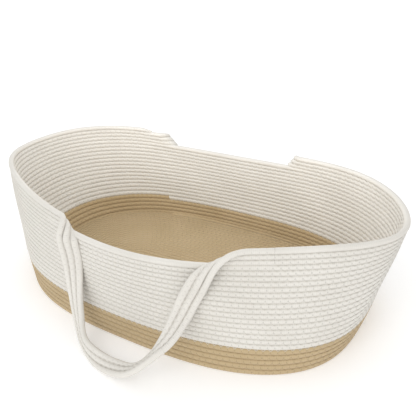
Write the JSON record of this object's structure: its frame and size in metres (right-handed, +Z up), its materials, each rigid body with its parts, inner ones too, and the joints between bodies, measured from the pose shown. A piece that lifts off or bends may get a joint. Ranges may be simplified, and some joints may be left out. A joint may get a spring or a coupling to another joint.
{
  "type": "rope Moses basket",
  "caption": "Oval baby basket of coiled and sewn cotton rope, tan floor and foot, cream wall rising at both ends, with two soft rope carrying straps.",
  "frame": {"origin": "centre of the underside, on the surface that the basket rests on", "axes": "+X along the length, +Y to the rear long side, +Z up"},
  "size_m": [0.8354, 0.6088, 0.2375],
  "materials": {
    "tan_rope": "undyed tan cotton rope, matte, braided",
    "cream_rope": "off-white cotton rope, matte, braided, with zigzag stitching",
    "strap_rope": "off-white cotton rope, matte, soft and hand-worn"
  },
  "bodies": {
    "basket": {"floor_core": "tan_rope", "floor_turn_1": "tan_rope", "floor_turn_2": "tan_rope", "floor_turn_3": "tan_rope", "floor_turn_4": "tan_rope", "floor_turn_5": "tan_rope", "floor_turn_6": "tan_rope", "floor_turn_7": "tan_rope", "floor_turn_8": "tan_rope", "floor_turn_9": "tan_rope", "floor_turn_10": "tan_rope", "floor_turn_11": "tan_rope", "floor_turn_12": "tan_rope", "floor_turn_13": "tan_rope", "floor_turn_14": "tan_rope", "floor_turn_15": "tan_rope", "floor_turn_16": "tan_rope", "floor_turn_17": "tan_rope", "floor_turn_18": "tan_rope", "floor_turn_19": "tan_rope", "floor_turn_20": "tan_rope", "floor_turn_21": "tan_rope", "floor_turn_22": "tan_rope", "tan_course_1": "tan_rope", "tan_course_2": "tan_rope", "tan_course_3": "tan_rope", "tan_course_4": "tan_rope", "tan_course_5": "tan_rope", "cream_course_1": "cream_rope", "cream_course_2": "cream_rope", "cream_course_3": "cream_rope", "cream_course_4": "cream_rope", "cream_course_5": "cream_rope", "cream_course_6": "cream_rope", "cream_course_7": "cream_rope", "cream_course_8": "cream_rope", "cream_course_9": "cream_rope", "cream_course_10": "cream_rope", "cream_course_11": "cream_rope", "cream_course_12": "cream_rope", "cream_course_13": "cream_rope", "cream_course_14": "cream_rope", "cream_course_15": "cream_rope", "cream_course_16": "cream_rope", "left_end_course_1": "cream_rope", "left_end_course_2": "cream_rope", "left_end_course_3": "cream_rope", "right_end_course_1": "cream_rope", "right_end_course_2": "cream_rope", "right_end_course_3": "cream_rope"},
    "front_handle": {"front_handle_rope_1": "strap_rope", "front_handle_rope_2": "strap_rope", "front_handle_rope_3": "strap_rope"},
    "rear_handle": {"rear_handle_rope_1": "strap_rope", "rear_handle_rope_2": "strap_rope", "rear_handle_rope_3": "strap_rope"}
  },
  "joints": [
    {"name": "front_handle_swing", "type": "hinge", "parent": "basket", "child": "front_handle", "pos_m": [0.0305, -0.208, 0.2], "axis": [-1, 0, 0], "range_deg": [0, 200]},
    {"name": "rear_handle_swing", "type": "hinge", "parent": "basket", "child": "rear_handle", "pos_m": [-0.01, 0.208, 0.2], "axis": [1, 0, 0], "range_deg": [0, 200]}
  ]
}
